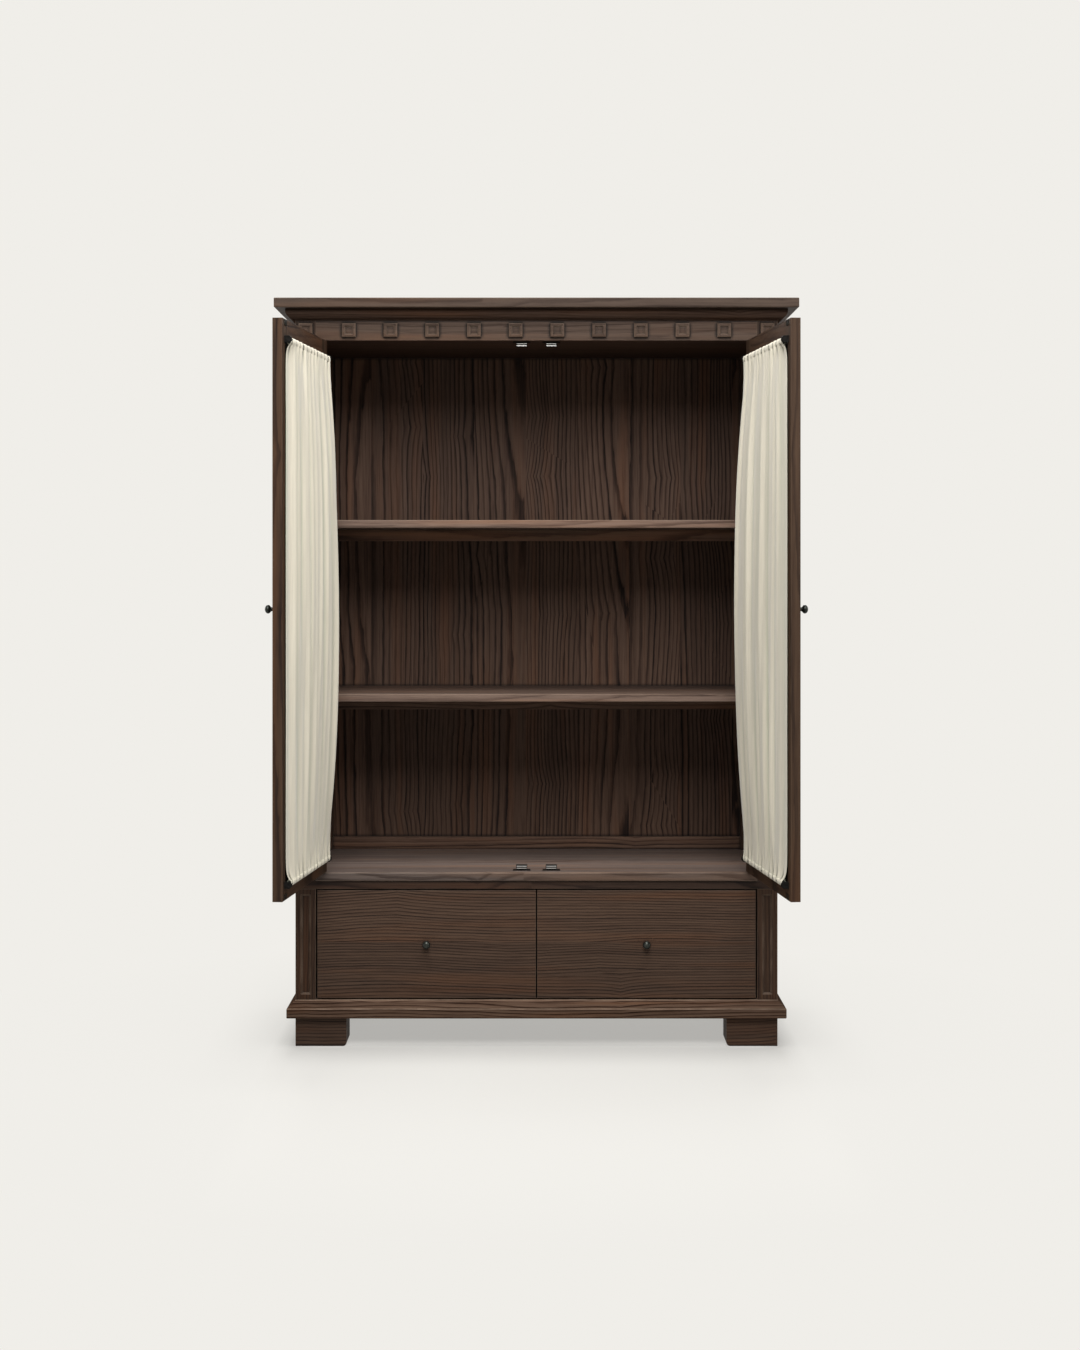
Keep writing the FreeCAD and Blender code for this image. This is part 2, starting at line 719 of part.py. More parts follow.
def build_drawers():
    """Two drawers on wooden runners, with a divider between them."""
    half_divider = divider_thickness / 2
    divider = block(-half_divider, half_divider, divider_setback, back_front, plinth_top, waist_bottom)
    write("drawer_divider", [divider])
    left_runners = [runner(-post_inner, 1), runner(-half_divider, -1)]
    write("drawer_runners", left_runners + [mirrored(piece) for piece in left_runners])

    left = -post_inner + drawer_gap
    right = -drawer_gap / 2
    low = plinth_top + drawer_gap
    high = waist_bottom - drawer_gap
    box_front = drawer_recess + drawer_front_thickness
    front = block(left, right, drawer_recess, box_front, low, high)
    front = front.makeFillet(edge_radius, edges_on(front, "Y", drawer_recess))

    box_left = -post_inner + guide_width + guide_clearance
    box_right = -half_divider - guide_width - guide_clearance
    box_rear = back_front - drawer_rear_room
    box_foot = plinth_top + runner_height + run_clearance
    box_head = box_foot + drawer_side_height
    thick = drawer_side_thickness
    sides = [block(box_left, box_left + thick, box_front, box_rear, box_foot, box_head),
             block(box_right - thick, box_right, box_front, box_rear, box_foot, box_head)]
    rear = block(box_left + thick, box_right - thick, box_rear - thick, box_rear, box_foot, box_head)
    bottom_z = box_foot + drawer_bottom_rise
    bottom = block(box_left + thick - drawer_groove, box_right - thick + drawer_groove, box_front,
                   box_rear - thick + drawer_groove, bottom_z, bottom_z + drawer_bottom_thickness)
    box = [piece.cut(bottom) for piece in sides + [rear]]
    pull = knob((left + right) / 2, drawer_recess, (low + high) / 2)
    for side, turn in (("left", lambda shape: shape), ("right", mirrored)):
        write(side + "_drawer_front", [turn(front)])
        write(side + "_drawer_box", [turn(piece) for piece in box])
        write(side + "_drawer_bottom", [turn(bottom)])
        write(side + "_drawer_knob", [turn(pull)])


os.makedirs("parts", exist_ok=True)
build_base()
build_case()
build_shelves()
build_cornice()
build_doors()
build_hinges()
build_catches()
build_drawers()
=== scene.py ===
# %% [markdown]
# A tall armoire of dark stained wood stands with both doors open. Each door carries a gathered
# cream curtain on its inner face. Two drawers sit under the cupboard. The construction comes
# ready made, piece by piece and at its real size, so this lesson only dresses it: it gives every
# board its grain, hangs the curtains, turns the knobs, and lights the whole in a pale studio.
# Loading comes first, because every later step reads its places from the loaded pieces.

# %% Load the construction
import json
import math
import bmesh
import bpy
from mathutils import Matrix, Vector, noise


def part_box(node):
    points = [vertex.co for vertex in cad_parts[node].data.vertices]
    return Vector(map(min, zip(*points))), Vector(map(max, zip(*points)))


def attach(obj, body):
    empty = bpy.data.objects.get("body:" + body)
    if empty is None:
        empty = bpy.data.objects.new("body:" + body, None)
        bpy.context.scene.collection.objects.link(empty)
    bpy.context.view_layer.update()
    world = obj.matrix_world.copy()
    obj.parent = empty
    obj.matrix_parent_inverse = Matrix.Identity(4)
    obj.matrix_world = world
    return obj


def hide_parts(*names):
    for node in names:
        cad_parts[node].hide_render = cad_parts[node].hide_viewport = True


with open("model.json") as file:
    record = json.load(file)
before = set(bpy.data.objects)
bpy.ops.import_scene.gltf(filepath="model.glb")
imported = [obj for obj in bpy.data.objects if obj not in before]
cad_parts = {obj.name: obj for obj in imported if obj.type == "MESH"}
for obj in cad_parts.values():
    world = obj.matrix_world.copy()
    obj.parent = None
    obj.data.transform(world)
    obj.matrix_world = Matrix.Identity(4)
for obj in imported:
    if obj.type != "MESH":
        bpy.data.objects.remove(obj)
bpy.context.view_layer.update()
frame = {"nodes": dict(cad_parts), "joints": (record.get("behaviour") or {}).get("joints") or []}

pieces = frame["nodes"]

# %% [markdown]
# The picture is taken from straight in front, a little above half height, with a long lens. The
# lens axis stays level so that the posts stay upright in the picture. A tilted camera would bring
# the armoire to the right height too, but it would make the posts lean. Instead the frame is
# shifted, as with a view camera. A shift is a share of the longer side of the picture, its height.

# %% Camera
case_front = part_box("left_upper_post")[0].y
case_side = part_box("right_upper_post")[1].x
picture_height = 1350
frame_right = 3.5
frame_down = 105
eye_height = 1.279
eye_distance = 6.285

lens = bpy.data.cameras.new("level_camera")
lens.lens = 62.4
lens.sensor_width = 36.0
lens.shift_x = frame_right / picture_height
lens.shift_y = -frame_down / picture_height
camera = bpy.data.objects.new("level_camera", lens)
camera.location = (0.0, case_front - eye_distance, eye_height)
camera.rotation_euler = (math.radians(90), 0.0, 0.0)
bpy.context.scene.collection.objects.link(camera)
bpy.context.scene.camera = camera
bpy.context.scene.view_settings.view_transform = "Standard"
print("camera at", tuple(camera.location), "lens", lens.lens)

# %% [markdown]
# Node trees get long, so small helpers keep the finishes readable. One makes a node and sets its
# options. One puts a number into a socket, or a link from another node. The rest make sums and
# products, and take a vector or a colour apart. The trees could be drawn by hand in the shader
# editor, but written out they can be read and changed here.


# %% Helpers for nodes and numbers
def new_node(tree, kind, **options):
    made = tree.nodes.new("ShaderNode" + kind)
    for name, value in options.items():
        setattr(made, name, value)
    return made


def put(tree, socket, value):
    if isinstance(value, bpy.types.NodeSocket):
        tree.links.new(value, socket)
    else:
        socket.default_value = value


def filled(tree, kind, terms, **options):
    made = new_node(tree, kind, **options)
    for socket, term in zip(made.inputs, terms):
        put(tree, socket, term)
    return made.outputs


def maths(tree, operation, *terms):
    return filled(tree, "Math", terms, operation=operation)[0]


def scaled(tree, value, factor):
    return maths(tree, "MULTIPLY", value, factor)


def parts_of(tree, vector):
    return filled(tree, "SeparateXYZ", [vector])


def place_parts(tree, kind="Object"):
    return parts_of(tree, new_node(tree, "TexCoord").outputs[kind])


print("helpers for nodes ready")

# %% [markdown]
# A second set of helpers works on colour: a blend of two colours, a ramp with stops, a straight
# range from one number to another, and soft spots of noise. A ramp bends freely between its stops,
# and a range can also end above one, so both are kept.


# %% Helpers for colour and shade
def blended(tree, share, first, second, how="MIX"):
    made = new_node(tree, "Mix", data_type="RGBA", blend_type=how)
    put(tree, made.inputs["Factor"], share)
    put(tree, made.inputs["A"], first)
    put(tree, made.inputs["B"], second)
    return made.outputs["Result"]


def graded(tree, value, *stops):
    made = new_node(tree, "ValToRGB")
    marks = made.color_ramp.elements
    while len(marks) < len(stops):
        marks.new(0.5)
    for mark, (place, shade) in zip(marks, stops):
        mark.position = place
        mark.color = (shade, shade, shade, 1.0) if isinstance(shade, float) else (*shade, 1.0)
    put(tree, made.inputs["Fac"], value)
    return made.outputs["Color"]


def ranged(tree, value, low, high, first, last):
    made = new_node(tree, "MapRange")
    put(tree, made.inputs["Value"], value)
    for name, number in (("From Min", low), ("From Max", high), ("To Min", first), ("To Max", last)):
        made.inputs[name].default_value = number
    return made.outputs["Result"]


def spots(tree, parts, scale, detail=2.0):
    made = new_node(tree, "TexNoise")
    put(tree, made.inputs["Vector"], filled(tree, "CombineXYZ", parts)[0])
    made.inputs["Scale"].default_value = scale
    made.inputs["Detail"].default_value = detail
    return made.outputs["Fac"]


print("helpers for colour ready")

# %% [markdown]
# Three more helpers start a finish, swap between two shaders, and raise a fine relief. A relief of
# real geometry would cost millions of faces for pores and threads, so a bump node stands for it.


# %% Helpers for finishes
def new_finish(name):
    finish = bpy.data.materials.new(name)
    finish.use_nodes = True
    tree = finish.node_tree
    return finish, tree, tree.nodes["Principled BSDF"]


def swap_shaders(tree, share, first, second, output):
    swap = new_node(tree, "MixShader")
    put(tree, swap.inputs["Fac"], share)
    tree.links.new(first.outputs[0], swap.inputs[1])
    tree.links.new(second.outputs[0], swap.inputs[2])
    tree.links.new(swap.outputs[0], tree.nodes[output].inputs["Surface"])


def raise_relief(tree, plain, height, strength, distance):
    bump = new_node(tree, "Bump")
    bump.inputs["Strength"].default_value = strength
    bump.inputs["Distance"].default_value = distance
    put(tree, bump.inputs["Height"], height)
    put(tree, plain.inputs["Normal"], bump.outputs[0])


print("helpers for finishes ready")

# %% [markdown]
# The room is a pale void: the floor and what lies behind it have one warm white. A real studio does
# this with a paper sweep. Here the floor is a wide disc. A last helper turns a finished bmesh into
# an object, for the floor now and for the curtains and knobs later.

# %% Pale floor
floor_radius = 30.0


def set_out(name, shape):
    mesh = bpy.data.meshes.new(name)
    shape.to_mesh(mesh)
    shape.free()
    made = bpy.data.objects.new(name, mesh)
    bpy.context.scene.collection.objects.link(made)
    return made


def pale_floor():
    shape = bmesh.new()
    bmesh.ops.create_circle(shape, cap_ends=True, segments=64, radius=floor_radius)
    floor = set_out("pale_floor", shape)
    return floor


ground = pale_floor()
print("floor", tuple(ground.dimensions))

# %% [markdown]
# The floor's paper takes the armoire's shadow near the feet and turns, further out, into the plain
# colour of the background, so that no horizon shows. The plain colour is shown to the camera, to
# mirrors and through glass, and the light that the floor throws back onto the wood stays weaker. A
# soft shade gathers round the feet, found by ambient occlusion. Right under the case it adds
# nothing, because the lamps' own shadow lies there, and beside the case it is held narrow.

# %% Floor paper
paper = (0.871, 0.855, 0.815)
paper_bounce = 0.45
paper_lit = (0.72, 0.72, 0.72, 1.0)
no_shade = (1.0, 1.0, 1.0, 1.0)
contact_reach = 0.3
shadow_kept = 0.5
ramp_per_metre = 0.25


def shown_rays(tree):
    path = new_node(tree, "LightPath")
    mirrored = maths(tree, "MAXIMUM", path.outputs["Is Glossy Ray"], path.outputs["Is Transmission Ray"])
    return maths(tree, "MAXIMUM", path.outputs["Is Camera Ray"], mirrored)


def contact_shade(tree, kept):
    close = new_node(tree, "AmbientOcclusion", samples=12)
    close.inputs["Distance"].default_value = contact_reach
    shade = graded(tree, close.outputs["AO"], (0.3, 1.0), (0.55, 0.74), (0.8, 0.86), (0.97, 1.0))
    return blended(tree, kept, no_shade, shade)


def paper_finish():
    finish, tree, plain = new_finish("floor_paper")
    plain.inputs["Roughness"].default_value = 0.6
    plain.inputs["Specular IOR Level"].default_value = 0.1
    seen = shown_rays(tree)
    place = new_node(tree, "TexCoord").outputs["Object"]
    beside = maths(tree, "SUBTRACT", maths(tree, "ABSOLUTE", parts_of(tree, place)[0]), case_side)
    kept = graded(tree, beside, (0.0, 1.0), (0.06, 0.4), (0.25, 0.12))
    shown = blended(tree, 1.0, (*paper, 1.0), contact_shade(tree, kept), "MULTIPLY")
    lit = blended(tree, 1.0, paper_lit, shown, "MULTIPLY")
    dull = tuple(paper_bounce * part for part in paper)
    put(tree, plain.inputs["Base Color"], blended(tree, seen, (*dull, 1.0), lit))
    glow = new_node(tree, "Emission")
    put(tree, glow.inputs["Color"], shown)
    reach = filled(tree, "VectorMath", [place], operation="LENGTH")["Value"]
    near = graded(tree, scaled(tree, reach, ramp_per_metre), (0.18, shadow_kept), (0.45, 0.0))
    far = maths(tree, "SUBTRACT", 1.0, maths(tree, "MULTIPLY", near, kept))
    swap_shaders(tree, maths(tree, "MULTIPLY", far, seen), plain, glow, "Material Output")
    return finish


ground.data.materials.append(paper_finish())
print("floor in", ground.data.materials[0].name)

# %% [markdown]
# The world shows the same paper to the camera, to mirrors and through glass. All other rays meet a
# much weaker warm white, which fills the shadows a little. One bright world for both would be
# simpler, but it would wash out the dark inside of the cupboard.

# %% Pale background
fill_light = (1.0, 0.985, 0.96, 1.0)
fill_strength = 0.2


def pale_world():
    world = bpy.data.worlds.new("pale_void")
    bpy.context.scene.world = world
    world.use_nodes = True
    tree = world.node_tree
    shown = tree.nodes["Background"]
    shown.inputs["Color"].default_value = (*paper, 1.0)
    shown.inputs["Strength"].default_value = 1.0
    lighting = new_node(tree, "Background")
    lighting.inputs["Color"].default_value = fill_light
    lighting.inputs["Strength"].default_value = fill_strength
    swap_shaders(tree, shown_rays(tree), lighting, shown, "World Output")
    return world


print("world", pale_world().name)

# %% [markdown]
# Six soft lamps light the studio. The front lamp, broad and high, brings out the front edges of the
# shelves and leaves the space under each board dark. The top lamp lights the upper faces. The left
# lamp lights the left side. The right lamp reaches across to the left curtain, which is the brighter
# one. The low lamp looks up at the undersides, and mirrors don't show it, because it would
# stand as a band in the glass of the shut doors. The back lamp is for views from behind. One strong
# lamp could give the same level, but with hard shadows.

# %% Studio lamps
lamps = [  # name, place, aim, width, height, watts, shown in mirrors
    ("front_lamp", (0.1, -3.6, 3.7), (0.0, 0.3, 1.3), 2.4, 1.9, 177.0, True),
    ("top_lamp", (0.0, -1.2, 4.2), (0.0, 0.0, 1.0), 2.4, 1.5, 105.0, True),
    ("left_lamp", (-3.8, 0.4, 2.6), (-0.7, 0.2, 0.9), 1.8, 2.2, 30.0, True),
    ("right_lamp", (3.4, -3.2, 3.0), (-0.4, -0.1, 1.2), 1.8, 2.2, 36.0, True),
    ("low_lamp", (0.0, -4.2, 0.7), (0.0, 0.3, 1.6), 2.0, 1.0, 8.0, False),
    ("back_lamp", (0.0, 4.6, 3.8), (0.0, 0.3, 0.8), 3.0, 2.0, 110.0, True),
]


def soft_lamp(name, place, aim, width, height, watts, mirrored):
    lamp = bpy.data.lights.new(name, "AREA")
    lamp.shape = "RECTANGLE"
    lamp.size = width
    lamp.size_y = height
    lamp.energy = watts
    holder = bpy.data.objects.new(name, lamp)
    holder.location = place
    holder.rotation_euler = (Vector(aim) - Vector(place)).to_track_quat("-Z", "Y").to_euler()
    holder.visible_glossy = mirrored
    bpy.context.scene.collection.objects.link(holder)


for lamp_row in lamps:
    soft_lamp(*lamp_row)
print(len(lamps), "lamps")

# %% [markdown]
# The wood is ash or oak under a dark stain, and its grain follows the length of each board. So a
# board's own axes come first: along it, across it, and into it. They could be drawn as a map on
# every piece, but the pieces keep their place in the room, so the room's axes serve. A mitred
# moulding turns the corner, and past the mitre its length runs front to back.


# %% Axes of a board
def board_axes(tree, along, across, mitred):
    axes = dict(zip("XYZ", place_parts(tree)))
    run, side = axes[along], axes[across]
    deep = next(axes[name] for name in "XYZ" if name not in (along, across))
    if mitred:
        beyond = maths(tree, "SUBTRACT", maths(tree, "ABSOLUTE", axes["X"]), case_side)
        ahead = maths(tree, "SUBTRACT", case_front, axes["Y"])
        on_side = maths(tree, "GREATER_THAN", beyond, ahead)
        shift = maths(tree, "MULTIPLY", maths(tree, "SUBTRACT", axes["Y"], axes["X"]), on_side)
        run = maths(tree, "ADD", axes["X"], shift)
        deep = maths(tree, "SUBTRACT", axes["Y"], shift)
    return run, side, deep


def drawn_out(tree, axes, along, across, scale, detail):
    run, side, deep = axes
    parts = (scaled(tree, run, along), scaled(tree, side, across), scaled(tree, deep, across))
    return spots(tree, parts, scale, detail)


print("board axes ready")

# %% [markdown]
# Straight grain swerves where a branch once grew. Each cell of a Voronoi texture gets one such
# place. Its push on the lines fades within about six centimetres, and the colour of the cell decides
# how strong it is and to which side it goes. Swerves drawn by hand would repeat from board to board,
# and these don't.

# %% Swerves round old branches
cells_across = 5.5
cells_along = 2.3
fade_across = 10.0
fade_along = 7.0


def swerves(tree, start, side):
    stretched = [scaled(tree, side, cells_across), scaled(tree, start, cells_along)]
    spread = filled(tree, "CombineXYZ", stretched)[0]
    cells = new_node(tree, "TexVoronoi", voronoi_dimensions="2D")
    tree.links.new(spread, cells.inputs["Vector"])
    cells.inputs["Scale"].default_value = 1.0
    away = filled(tree, "VectorMath", [spread, cells.outputs["Position"]], operation="SUBTRACT")[0]
    away_across, away_along = parts_of(tree, away)[:2]
    wide = scaled(tree, maths(tree, "MULTIPLY", away_across, away_across), fade_across)
    tall = scaled(tree, maths(tree, "ABSOLUTE", away_along), fade_along)
    near = maths(tree, "EXPONENT", scaled(tree, maths(tree, "ADD", wide, tall), -1.0))
    luck = filled(tree, "SeparateColor", [cells.outputs["Color"]])[0]
    return maths(tree, "MULTIPLY", near, maths(tree, "SUBTRACT", luck, 0.5))


print("swerves ready")

# %% [markdown]
# A board sawn along the log shows tall pointed arches, because the saw cuts the growth rings at a
# slant. A wave texture gives only straight stripes, so the rings are worked out as in a real log.
# The distance of a point from the heart is the root of its squared distance across the board and its
# squared distance above the heart, and the second one wanders along the board. Equal distances then
# form arches. Each board has a chance of its own, so that no two glued boards match.

# %% Growth rings
joint_shift = 0.031  # from the middle of the armoire to a glue joint
log_stray = 9.0  # how far apart along the log two boards may be cut
heart_stray = 2.4  # how far beside a board its heart may lie, in boards
sway_width = 0.05
swerve_width = 0.035
heart_depth = 0.045
heart_slant = 0.3
year_change = 0.008
line_fray = 0.35


def growth_rings(tree, run, side, deep, board, ring):
    shifted = maths(tree, "ADD", side, joint_shift)
    number = maths(tree, "FLOOR", maths(tree, "DIVIDE", shifted, board))
    middle = scaled(tree, maths(tree, "ADD", number, 0.5), board)
    chance = new_node(tree, "TexWhiteNoise", noise_dimensions="1D")
    put(tree, chance.inputs["W"], maths(tree, "ADD", number, 3.7))
    luck = filled(tree, "SeparateColor", [chance.outputs["Color"]])
    start = maths(tree, "MULTIPLY_ADD", luck[0], log_stray, run)
    axes = (start, side, deep)
    off = maths(tree, "SUBTRACT", shifted, middle)
    off = maths(tree, "MULTIPLY_ADD", maths(tree, "SUBTRACT", luck[1], 0.5), heart_stray * board, off)
    sway = drawn_out(tree, axes, 1.0, 3.0, 1.5, 1.0)
    off = maths(tree, "MULTIPLY_ADD", maths(tree, "SUBTRACT", sway, 0.5), sway_width, off)
    off = maths(tree, "MULTIPLY_ADD", swerves(tree, start, side), swerve_width, off)
    heart = spots(tree, (start, scaled(tree, number, 2.3), 0.0), 0.7, 0.0)
    heart = maths(tree, "MULTIPLY_ADD", heart, heart_depth, scaled(tree, deep, heart_slant))
    square = maths(tree, "ADD", maths(tree, "MULTIPLY", off, off), maths(tree, "MULTIPLY", heart, heart))
    reach = maths(tree, "SQRT", square)
    uneven = spots(tree, (scaled(tree, reach, 30.0), number, 0.0), 1.0, 1.0)
    years = maths(tree, "DIVIDE", maths(tree, "MULTIPLY_ADD", uneven, year_change, reach), ring)
    rough = drawn_out(tree, axes, 8.0, 60.0, 2.0, 2.0)
    years = maths(tree, "MULTIPLY_ADD", rough, line_fray, years)
    season = new_node(tree, "TexWhiteNoise", noise_dimensions="1D")
    put(tree, season.inputs["W"], maths(tree, "MULTIPLY_ADD", number, 17.0, maths(tree, "FLOOR", years)))
    return maths(tree, "FRACT", years), season.outputs["Value"], luck[2], axes


print("growth rings ready")

# %% [markdown]
# Inner corners are darkened with painted shade, found by ambient occlusion. On the arrises the wood
# shows lighter, partly from wear that thins the stain and partly as painted highlight. A bevel node
# finds those edges by comparing the true normal with a rounded one, and faces that slant get the same
# painted highlight. The plinth's beads get painted highlight along their ridges, which are given by
# height. As painted light, the last helper makes a board's front and back faces lighter or darker
# than its top and underside.

# %% Corners, edges and faces
corner_reach = 0.01
edge_radius = 0.0025
ridge_core = 0.0008
ridge_rim = 0.0022
# Strength of the painted highlight along the plinth's ridges.
ridge_highlight = 0.75
patch_scale = 18.0


# Painted shade: inner corners and gaps are darkened where ambient occlusion finds them.
def painted_corner_shade(tree, corners):
    corner = new_node(tree, "AmbientOcclusion", samples=6)
    corner.inputs["Distance"].default_value = corner_reach
    shade = graded(tree, corner.outputs["AO"], (0.45, 0.15), (0.75, 0.6), (0.95, 1.0))
    return maths(tree, "POWER", shade, corners)


def sharp_edges(tree):
    soft = new_node(tree, "Bevel", samples=4)
    soft.inputs["Radius"].default_value = edge_radius
    sharp = new_node(tree, "NewGeometry").outputs["True Normal"]
    facing = filled(tree, "VectorMath", [soft.outputs[0], sharp], operation="DOT_PRODUCT")["Value"]
    return graded(tree, facing, (0.86, 1.0), (0.985, 0.0))


# Painted highlight: faces that slant, such as bevels, are treated as lit edges.
def slanting_faces(tree):
    normal = new_node(tree, "TexCoord").outputs["Normal"]
    turned = parts_of(tree, filled(tree, "VectorMath", [normal], operation="ABSOLUTE")[0])
    most = maths(tree, "MAXIMUM", maths(tree, "MAXIMUM", turned[0], turned[1]), turned[2])
    return graded(tree, most, (0.85, 1.0), (0.97, 0.0))


# Partly real wear and partly painted highlight: arrises, slanting faces and the plinth's ridges turn
# lighter.
def worn_and_highlit_edges(tree, wear_and_highlight, ridges):
    place = place_parts(tree)
    patchy = graded(tree, spots(tree, place, patch_scale), (0.35, 0.35), (0.7, 1.0))
    worn_and_highlit = scaled(tree, maths(tree, "MAXIMUM", sharp_edges(tree), slanting_faces(tree)), wear_and_highlight)
    for height in ridges:
        away = maths(tree, "ABSOLUTE", maths(tree, "SUBTRACT", place[2], height))
        worn_and_highlit = maths(tree, "MAXIMUM", worn_and_highlit, ranged(tree, away, ridge_core, ridge_rim, ridge_highlight, 0.0))
    return maths(tree, "MULTIPLY", worn_and_highlit, patchy)


# Painted light: front and back faces are made lighter or darker than tops and undersides, as the lamps
# would light them.
def painted_face_light(tree, front):
    facing = place_parts(tree, "Normal")[1]
    return ranged(tree, maths(tree, "ABSOLUTE", facing), 0.4, 0.8, 1.0, front)


print("corners and edges ready")

# %% [markdown]
# The rings become a colour in layers. The late wood of each year is a dark line with a soft side and
# a sharp side. Fine pores lie as short dark strokes along the grain, and longer streaks between
# them. Warm clouds show where the wood is pale, and each board is a little lighter or darker than
# the next one. A picture of wood would be quicker, but it would repeat and its colour would be fixed.

# %% Grain and colour
light_wood = (0.090, 0.054, 0.036)
brown_wood = (0.044, 0.0240, 0.0155)
dark_wood = (0.0080, 0.0040, 0.0030)
warm_wood = (0.120, 0.050, 0.022)
# Colour of worn arrises, also used as the painted highlight on edges, slanting faces and ridges.
worn_and_highlit_wood = (0.23, 0.165, 0.122)
line_dark = 0.62
pore_dark = 0.18
streak_dark = 0.6
board_change = 0.36
board_least = 0.82


def grain(tree, year, season, axes, figure):
    line = graded(tree, year, (0.0, 1.0), (0.12, 0.85), (0.32, 0.15), (0.75, 0.0), (0.93, 0.2), (1.0, 1.0))
    line = maths(tree, "MULTIPLY", line, maths(tree, "MULTIPLY_ADD", season, 0.7 * figure, 0.4 * figure))
    stroke = graded(tree, drawn_out(tree, axes, 12.0, 620.0, 1.0, 2.0), (0.5, 0.0), (0.66, 1.0))
    streak = drawn_out(tree, axes, 2.0, 110.0, 1.0, 3.0)
    dark = maths(tree, "MULTIPLY_ADD", stroke, pore_dark, scaled(tree, line, line_dark))
    return maths(tree, "MULTIPLY_ADD", maths(tree, "SUBTRACT", streak, 0.4), streak_dark, dark)


def wood_colour(tree, dark, axes):
    colour = graded(tree, dark, (0.0, light_wood), (0.36, brown_wood), (0.85, dark_wood))
    warmth = graded(tree, drawn_out(tree, axes, 1.0, 16.0, 1.5, 2.0), (0.5, 0.0), (0.72, 0.5))
    pale = maths(tree, "SUBTRACT", 1.0, dark)
    return blended(tree, maths(tree, "MULTIPLY", warmth, pale), colour, (*warm_wood, 1.0))


print("grain ready")

# %% [markdown]
# One function now makes the whole finish of a board. It takes the way the board runs, its width, the
# width of a year, and the tone of its stain. It also takes how much the wear and painted highlight,
# the figure, the painted light on front faces and the painted shade in corners count. The mitred
# mouldings have no gloss, because it would draw light bands on their curves. The grain leaves a fine
# relief, which catches the light across the lines.


# %% Stained wood
def stained_wood(name, along, across, board=0.15, ring=0.0085, tone=(1.0, 1.0, 1.0), wear_and_highlight=0.3,
                 figure=1.0, front=1.0, corners=1.0, ridges=(), mitred=False):
    finish, tree, plain = new_finish(name)
    run, side, deep = board_axes(tree, along, across, mitred)
    year, season, luck, axes = growth_rings(tree, run, side, deep, board, ring)
    dark = grain(tree, year, season, axes, figure)
    shade = maths(tree, "MULTIPLY_ADD", luck, board_change, board_least)
    # Painted shade in corners and painted light on front faces scale the board's tone.
    painted_shade_and_light = maths(tree, "MULTIPLY", painted_corner_shade(tree, corners), painted_face_light(tree, front))
    shade = maths(tree, "MULTIPLY", shade, painted_shade_and_light)
    tint = filled(tree, "CombineColor", [scaled(tree, shade, part) for part in tone])[0]
    colour = blended(tree, 1.0, wood_colour(tree, dark, axes), tint, "MULTIPLY")
    # Arrises, slanting faces and ridges take the lighter colour: partly wear, partly painted highlight.
    colour = blended(tree, worn_and_highlit_edges(tree, wear_and_highlight, ridges), colour, (*worn_and_highlit_wood, 1.0))
    put(tree, plain.inputs["Base Color"], colour)
    put(tree, plain.inputs["Roughness"], maths(tree, "MULTIPLY_ADD", dark, 0.2, 0.58))
    plain.inputs["Specular IOR Level"].default_value = 0.0 if mitred else 0.15
    raise_relief(tree, plain, maths(tree, "SUBTRACT", 1.0, dark), strength=0.5, distance=0.0006)
    return finish


print("wood finish ready")

# %% [markdown]
# Upright boards come first: the posts, the panels and the stiles of the doors. All were stained in
# one go, but each group is given a tone of its own, lighter or darker. One finish for all would be
# easier, and would look cast in one piece.


# %% Upright boards
def both(*names):
    return [side + "_" + name for name in names for side in ("left", "right")]


def dress(nodes, finish):
    for node in nodes:
        piece = pieces[node]
        piece.data.materials.clear()
        piece.data.materials.append(finish)


dress(["upper_back_panel", "lower_back_panel"],
      stained_wood("back_wood", "Z", "X", ring=0.0078, tone=(1.0, 0.96, 0.97), figure=1.35))
dress(both("upper_post", "lower_post") + ["drawer_divider"],
      stained_wood("post_wood", "Z", "X", board=0.09, tone=(0.54, 0.475, 0.395), wear_and_highlight=0.4, corners=1.5))
dress(["upper_side_panels", "lower_side_panels", "rear_posts"],
      stained_wood("side_wood", "Z", "Y", ring=0.0078, tone=(0.85, 0.82, 0.8)))
dress(both("door_stiles"),
      stained_wood("stile_wood", "Z", "Y", board=0.12, tone=(0.57, 0.53, 0.45), wear_and_highlight=0.2))
print("wood on posts, panels and stiles")

# %% [markdown]
# Level boards run from side to side, or front to back along the doors and drawer boxes. The drawer
# fronts are one wide board each, with a strong figure. The shelves have a paler, greyer tone, their
# front faces are painted lighter than their tops as painted light, and their arrises show wear and
# painted highlight. The cupboard floor has a paler, greyer tone too, and its top is painted paler
# than its nosing, as painted light from above.

# %% Level boards
dress(both("door_rails", "door_beads"),
      stained_wood("door_rail_wood", "Y", "Z", board=0.12, tone=(0.68, 0.62, 0.55), wear_and_highlight=0.2))
dress(both("drawer_front"),
      stained_wood("drawer_front_wood", "X", "Z", board=0.31, ring=0.0078, tone=(0.71, 0.7, 0.68),
                   figure=1.25))
dress(["frieze_board", "frieze_blocks"],
      stained_wood("frieze_wood", "X", "Z", board=0.12, tone=(0.84, 0.9, 0.96), wear_and_highlight=0.4, figure=0.45,
                   corners=2.2))
dress(["back_rail", "shelf_bearers"], stained_wood("rail_wood", "X", "Z", tone=(1.4, 1.35, 1.35)))
dress(["front_feet", "rear_feet"], stained_wood("foot_wood", "X", "Z", tone=(0.66, 0.64, 0.62), wear_and_highlight=0.15))
dress(["side_head_rails", "drawer_runners"],
      stained_wood("head_rail_wood", "Y", "Z", tone=(0.9, 0.9, 0.9)))
dress(["top_cap", "base_board"],
      stained_wood("top_wood", "X", "Y", tone=(0.66, 0.72, 0.77), wear_and_highlight=0.3, figure=0.7))
